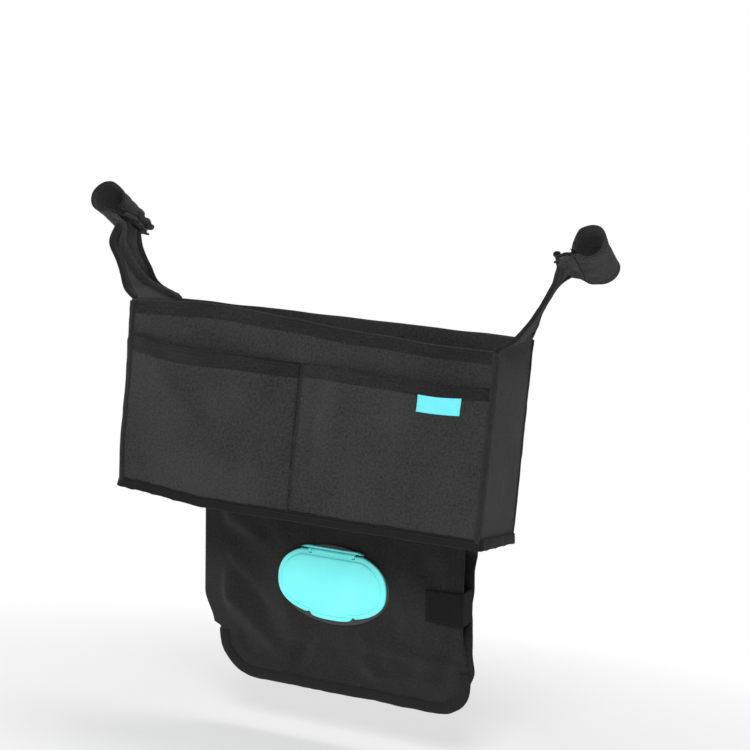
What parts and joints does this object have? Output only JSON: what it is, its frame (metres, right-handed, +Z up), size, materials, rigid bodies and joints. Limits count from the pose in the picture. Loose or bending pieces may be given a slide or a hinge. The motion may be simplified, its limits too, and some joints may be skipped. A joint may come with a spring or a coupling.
{
  "type": "stroller organizer",
  "caption": "Open black fabric organizer bag hung by side wings from stroller tubes, with front pockets and a folded changing case below that has a hinged turquoise wipes lid.",
  "frame": {"origin": "midway between the centres of the two wrap cuffs, where the stroller's handle tubes hold the organizer", "axes": "+X to the user's right, along the bag's width; -Y to the front with the pockets; +Z up when the bag hangs level"},
  "size_m": [0.5304, 0.1435, 0.474],
  "materials": {
    "fabric": "charcoal woven polyester",
    "lining": "smooth black lining",
    "binding": "black ribbed binding tape",
    "board": "matte stiffener sheet",
    "padding": "wipe-clean padded fabric",
    "hook_tape": "hook tape",
    "loop_tape": "loop tape",
    "label": "woven turquoise label, bare",
    "turquoise_plastic": "satin moulded plastic",
    "grey_plastic": "satin moulded plastic"
  },
  "bodies": {
    "bag": {"front_panel": "fabric", "back_panel": "fabric", "bottom_panel": "fabric", "base_board": "board", "left_side_panel": "fabric", "right_side_panel": "fabric", "left_wing_binding": "binding", "right_wing_binding": "binding", "left_cuff": "fabric", "right_cuff": "fabric", "left_cuff_hook_patch": "hook_tape", "right_cuff_hook_patch": "hook_tape", "left_cuff_loop_patch": "loop_tape", "right_cuff_loop_patch": "loop_tape", "left_pocket": "fabric", "right_pocket": "fabric", "pocket_label": "label", "left_divider": "lining", "right_divider": "lining", "base_seam_binding": "binding", "case_front_panel": "fabric", "case_back_panel": "fabric", "case_binding": "binding", "wipes_pocket_lining": "lining", "changing_pad": "padding", "closure_tab": "fabric", "closure_hook_patch": "hook_tape", "hanger_loop_strip": "loop_tape", "hanger_hook_strip": "hook_tape", "dispenser_base": "grey_plastic"},
    "lid": {"dispenser_lid": "turquoise_plastic"}
  },
  "joints": [
    {"name": "lid_hinge", "type": "hinge", "parent": "bag", "child": "lid", "pos_m": [0, 0.03578, -0.30715], "axis": [-1, 0, 0], "range_deg": [0, 115]}
  ]
}
